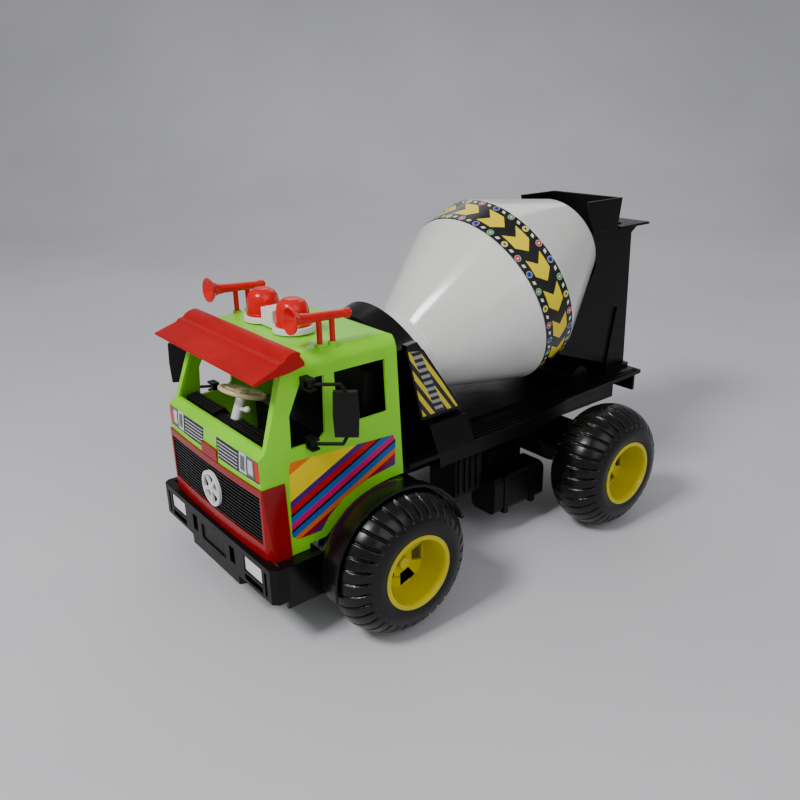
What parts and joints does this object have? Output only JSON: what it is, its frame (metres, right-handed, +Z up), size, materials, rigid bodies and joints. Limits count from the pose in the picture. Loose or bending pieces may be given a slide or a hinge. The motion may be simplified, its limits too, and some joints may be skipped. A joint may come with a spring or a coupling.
{
  "type": "toy cement mixer truck",
  "caption": "Plastic toy cement mixer: cab-over truck on balloon wheels with a tilted turning drum, a round-topped drum stand, a rear hopper tower, folding mirrors, horns and beacons.",
  "frame": {"origin": "on the ground, under the middle of the bounding box", "axes": "+Z up, the truck heads along -Y, +X is the truck's left side"},
  "size_m": [0.2874, 0.484, 0.2919],
  "materials": {
    "cab_green": "glossy lime green moulding with printed stickers",
    "red_gloss": "glossy red moulding",
    "red_satin": "satin dark red moulding",
    "black_satin": "satin black moulding",
    "black_gloss": "glossy black moulding",
    "black_matte": "matte black moulding",
    "drum_white": "glossy white moulding",
    "band_print": "printed belt, black with yellow arrows and coloured dots",
    "rim_yellow": "satin yellow moulding",
    "tyre_black": "glossy black blown tyre",
    "white": "glossy white moulding",
    "cream": "cream moulding",
    "steel": "bright steel wire",
    "mirror": "silvered sticker",
    "lamp_red": "red lens"
  },
  "bodies": {
    "truck": {"air_box_left": "black_satin", "air_box_right": "black_satin", "badge": "white", "beacon_box": "white", "beacon_left": "red_gloss", "beacon_right": "red_gloss", "bumper": "black_satin", "cab_shell": "cab_green", "chassis_frame": "black_satin", "chassis_screws": "steel", "dashboard": "black_matte", "deck": "black_satin", "deck_fairing_left": "black_satin", "deck_fairing_right": "black_satin", "drum_pin": "black_gloss", "fender_left": "black_gloss", "fender_right": "black_gloss", "fog_light_left": "white", "fog_light_right": "white", "front_axle": "steel", "front_axle_caps": "rim_yellow", "front_panel": "red_satin", "fuel_tank_left": "black_satin", "fuel_tank_right": "black_satin", "grille": "black_gloss", "hopper": "black_satin", "horn_left": "red_gloss", "horn_right": "red_gloss", "light_bar": "white", "mirror_eyes_left": "black_matte", "mirror_eyes_right": "black_matte", "pedestal": "black_gloss", "rear_axle": "steel", "rear_axle_caps": "rim_yellow", "seat": "black_matte", "steering_column": "white", "sun_visor": "red_satin", "tail_lamps": "lamp_red", "tail_plate": "black_satin", "tower": "black_satin", "tower_plate": "black_satin"},
    "wheel_front_left": {"tyre_front_left": "tyre_black", "rim_front_left": "rim_yellow"},
    "wheel_front_right": {"tyre_front_right": "tyre_black", "rim_front_right": "rim_yellow"},
    "wheel_rear_left": {"tyre_rear_left": "tyre_black", "rim_rear_left": "rim_yellow"},
    "wheel_rear_right": {"tyre_rear_right": "tyre_black", "rim_rear_right": "rim_yellow"},
    "drum": {"drum_front": "drum_white", "drum_rear": "drum_white", "drum_band": "band_print"},
    "steering": {"steering_wheel": "cream"},
    "mirror_left": {"mirror_arm_left": "black_matte", "mirror_head_left": "black_matte", "mirror_glass_left": "mirror"},
    "mirror_right": {"mirror_arm_right": "black_matte", "mirror_head_right": "black_matte", "mirror_glass_right": "mirror"}
  },
  "joints": [
    {"name": "wheel_front_left_spin", "type": "hinge", "parent": "truck", "child": "wheel_front_left", "pos_m": [0.1157, -0.1495, 0.0575], "axis": [1, 0, 0], "continuous": true},
    {"name": "wheel_front_right_spin", "type": "hinge", "parent": "truck", "child": "wheel_front_right", "pos_m": [-0.1157, -0.1495, 0.0575], "axis": [1, 0, 0], "continuous": true},
    {"name": "wheel_rear_left_spin", "type": "hinge", "parent": "truck", "child": "wheel_rear_left", "pos_m": [0.1157, 0.096, 0.0575], "axis": [1, 0, 0], "continuous": true},
    {"name": "wheel_rear_right_spin", "type": "hinge", "parent": "truck", "child": "wheel_rear_right", "pos_m": [-0.1157, 0.096, 0.0575], "axis": [1, 0, 0], "continuous": true},
    {"name": "drum_turn", "type": "hinge", "parent": "truck", "child": "drum", "pos_m": [0, -0.052, 0.1645], "axis": [0, 0.9361, 0.3518], "continuous": true},
    {"name": "steering_turn", "type": "hinge", "parent": "truck", "child": "steering", "pos_m": [0, -0.2135, 0.147], "axis": [0, 0.342, 0.9397], "continuous": true},
    {"name": "mirror_left_fold", "type": "hinge", "parent": "truck", "child": "mirror_left", "pos_m": [0.079, -0.1925, 0.1735], "axis": [0, 0, 1], "range_deg": [-70, 35]},
    {"name": "mirror_right_fold", "type": "hinge", "parent": "truck", "child": "mirror_right", "pos_m": [-0.079, -0.1925, 0.1735], "axis": [0, 0, -1], "range_deg": [-10, 143]}
  ]
}
